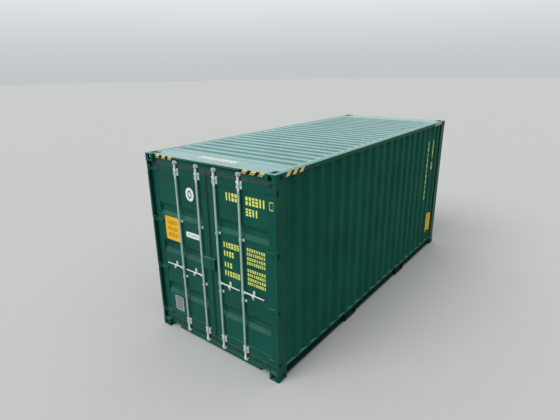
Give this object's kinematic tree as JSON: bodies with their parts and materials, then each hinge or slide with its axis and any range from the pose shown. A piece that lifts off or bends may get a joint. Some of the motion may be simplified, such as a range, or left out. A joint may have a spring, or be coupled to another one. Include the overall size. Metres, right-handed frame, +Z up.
{
  "type": "twenty foot high cube shipping container",
  "caption": "Closed dry freight container of corrugated steel with a pair of hinged end doors, lock bars and slotted corner fittings.",
  "frame": {"origin": "centre of the container's footprint, on the ground under the corner fittings", "axes": "+X along the length, from the door end at -X to the closed end; +Y across the width, towards the left door's hinges; +Z up"},
  "size_m": [6.058, 2.438, 2.896],
  "materials": {
    "frame_paint": "satin paint",
    "wall_paint": "satin paint",
    "roof_paint": "worn gloss paint",
    "door_paint": "satin paint",
    "floor_ply": "sealed plywood",
    "base_coating": "wax coating",
    "seal_rubber": "matt rubber",
    "galvanised": "galvanised",
    "bright_zinc": "bright zinc"
  },
  "bodies": {
    "container": {"bottom_fittings": "frame_paint", "top_fittings": "frame_paint", "door_post_left": "frame_paint", "door_post_right": "frame_paint", "closed_end_posts": "frame_paint", "door_header": "frame_paint", "door_sill": "frame_paint", "closed_end_header": "frame_paint", "closed_end_sill": "frame_paint", "top_rail_left": "frame_paint", "top_rail_right": "frame_paint", "bottom_rail_left": "frame_paint", "bottom_rail_right": "frame_paint", "hinge_pins_left": "frame_paint", "hinge_pins_right": "frame_paint", "side_wall_left": "wall_paint", "side_wall_right": "wall_paint", "end_wall": "wall_paint", "roof_panel": "roof_paint", "roof_end_plates": "roof_paint", "floor": "floor_ply", "cross_members": "base_coating", "fork_pockets": "base_coating", "cam_keepers": "galvanised"},
    "door_left": {"door_panel_left": "door_paint", "door_frame_left": "door_paint", "door_seal_left": "seal_rubber", "hinge_blades_left": "door_paint", "bar_brackets_left": "galvanised", "handle_catches_left": "bright_zinc", "lock_box_left": "door_paint"},
    "lock_bar_left_outer": {"lock_bar_left_outer": "galvanised"},
    "handle_left_outer": {"handle_left_outer": "bright_zinc"},
    "lock_bar_left_inner": {"lock_bar_left_inner": "galvanised"},
    "handle_left_inner": {"handle_left_inner": "bright_zinc"},
    "door_right": {"door_panel_right": "door_paint", "door_frame_right": "door_paint", "door_seal_right": "seal_rubber", "hinge_blades_right": "door_paint", "bar_brackets_right": "galvanised", "handle_catches_right": "bright_zinc", "lock_box_right": "door_paint"},
    "lock_bar_right_outer": {"lock_bar_right_outer": "galvanised"},
    "handle_right_outer": {"handle_right_outer": "bright_zinc"},
    "lock_bar_right_inner": {"lock_bar_right_inner": "galvanised"},
    "handle_right_inner": {"handle_right_inner": "bright_zinc"}
  },
  "joints": [
    {"name": "door_left_hinge", "type": "hinge", "parent": "container", "child": "door_left", "pos_m": [-3.0105, 1.202, 1.46], "axis": [0, 0, -1], "range_deg": [0, 267]},
    {"name": "bar_left_outer_turn", "type": "hinge", "parent": "door_left", "child": "lock_bar_left_outer", "pos_m": [-3, 0.602, 1.19], "axis": [0, 0, -1], "range_deg": [-95, 0]},
    {"name": "handle_left_outer_lift", "type": "hinge", "parent": "lock_bar_left_outer", "child": "handle_left_outer", "pos_m": [-3, 0.643, 1.19], "axis": [1, 0, 0], "range_deg": [0, 25]},
    {"name": "bar_left_inner_turn", "type": "hinge", "parent": "door_left", "child": "lock_bar_left_inner", "pos_m": [-3, 0.17, 1.19], "axis": [0, 0, -1], "range_deg": [-95, 0]},
    {"name": "handle_left_inner_lift", "type": "hinge", "parent": "lock_bar_left_inner", "child": "handle_left_inner", "pos_m": [-3, 0.211, 1.19], "axis": [1, 0, 0], "range_deg": [0, 25]},
    {"name": "door_right_hinge", "type": "hinge", "parent": "container", "child": "door_right", "pos_m": [-3.0105, -1.202, 1.46], "axis": [0, 0, 1], "range_deg": [0, 267]},
    {"name": "bar_right_outer_turn", "type": "hinge", "parent": "door_right", "child": "lock_bar_right_outer", "pos_m": [-3, -0.602, 1.19], "axis": [0, 0, 1], "range_deg": [-95, 0]},
    {"name": "handle_right_outer_lift", "type": "hinge", "parent": "lock_bar_right_outer", "child": "handle_right_outer", "pos_m": [-3, -0.643, 1.19], "axis": [-1, 0, 0], "range_deg": [0, 25]},
    {"name": "bar_right_inner_turn", "type": "hinge", "parent": "door_right", "child": "lock_bar_right_inner", "pos_m": [-3, -0.17, 1.19], "axis": [0, 0, 1], "range_deg": [-95, 0]},
    {"name": "handle_right_inner_lift", "type": "hinge", "parent": "lock_bar_right_inner", "child": "handle_right_inner", "pos_m": [-3, -0.211, 1.19], "axis": [-1, 0, 0], "range_deg": [0, 25]}
  ]
}
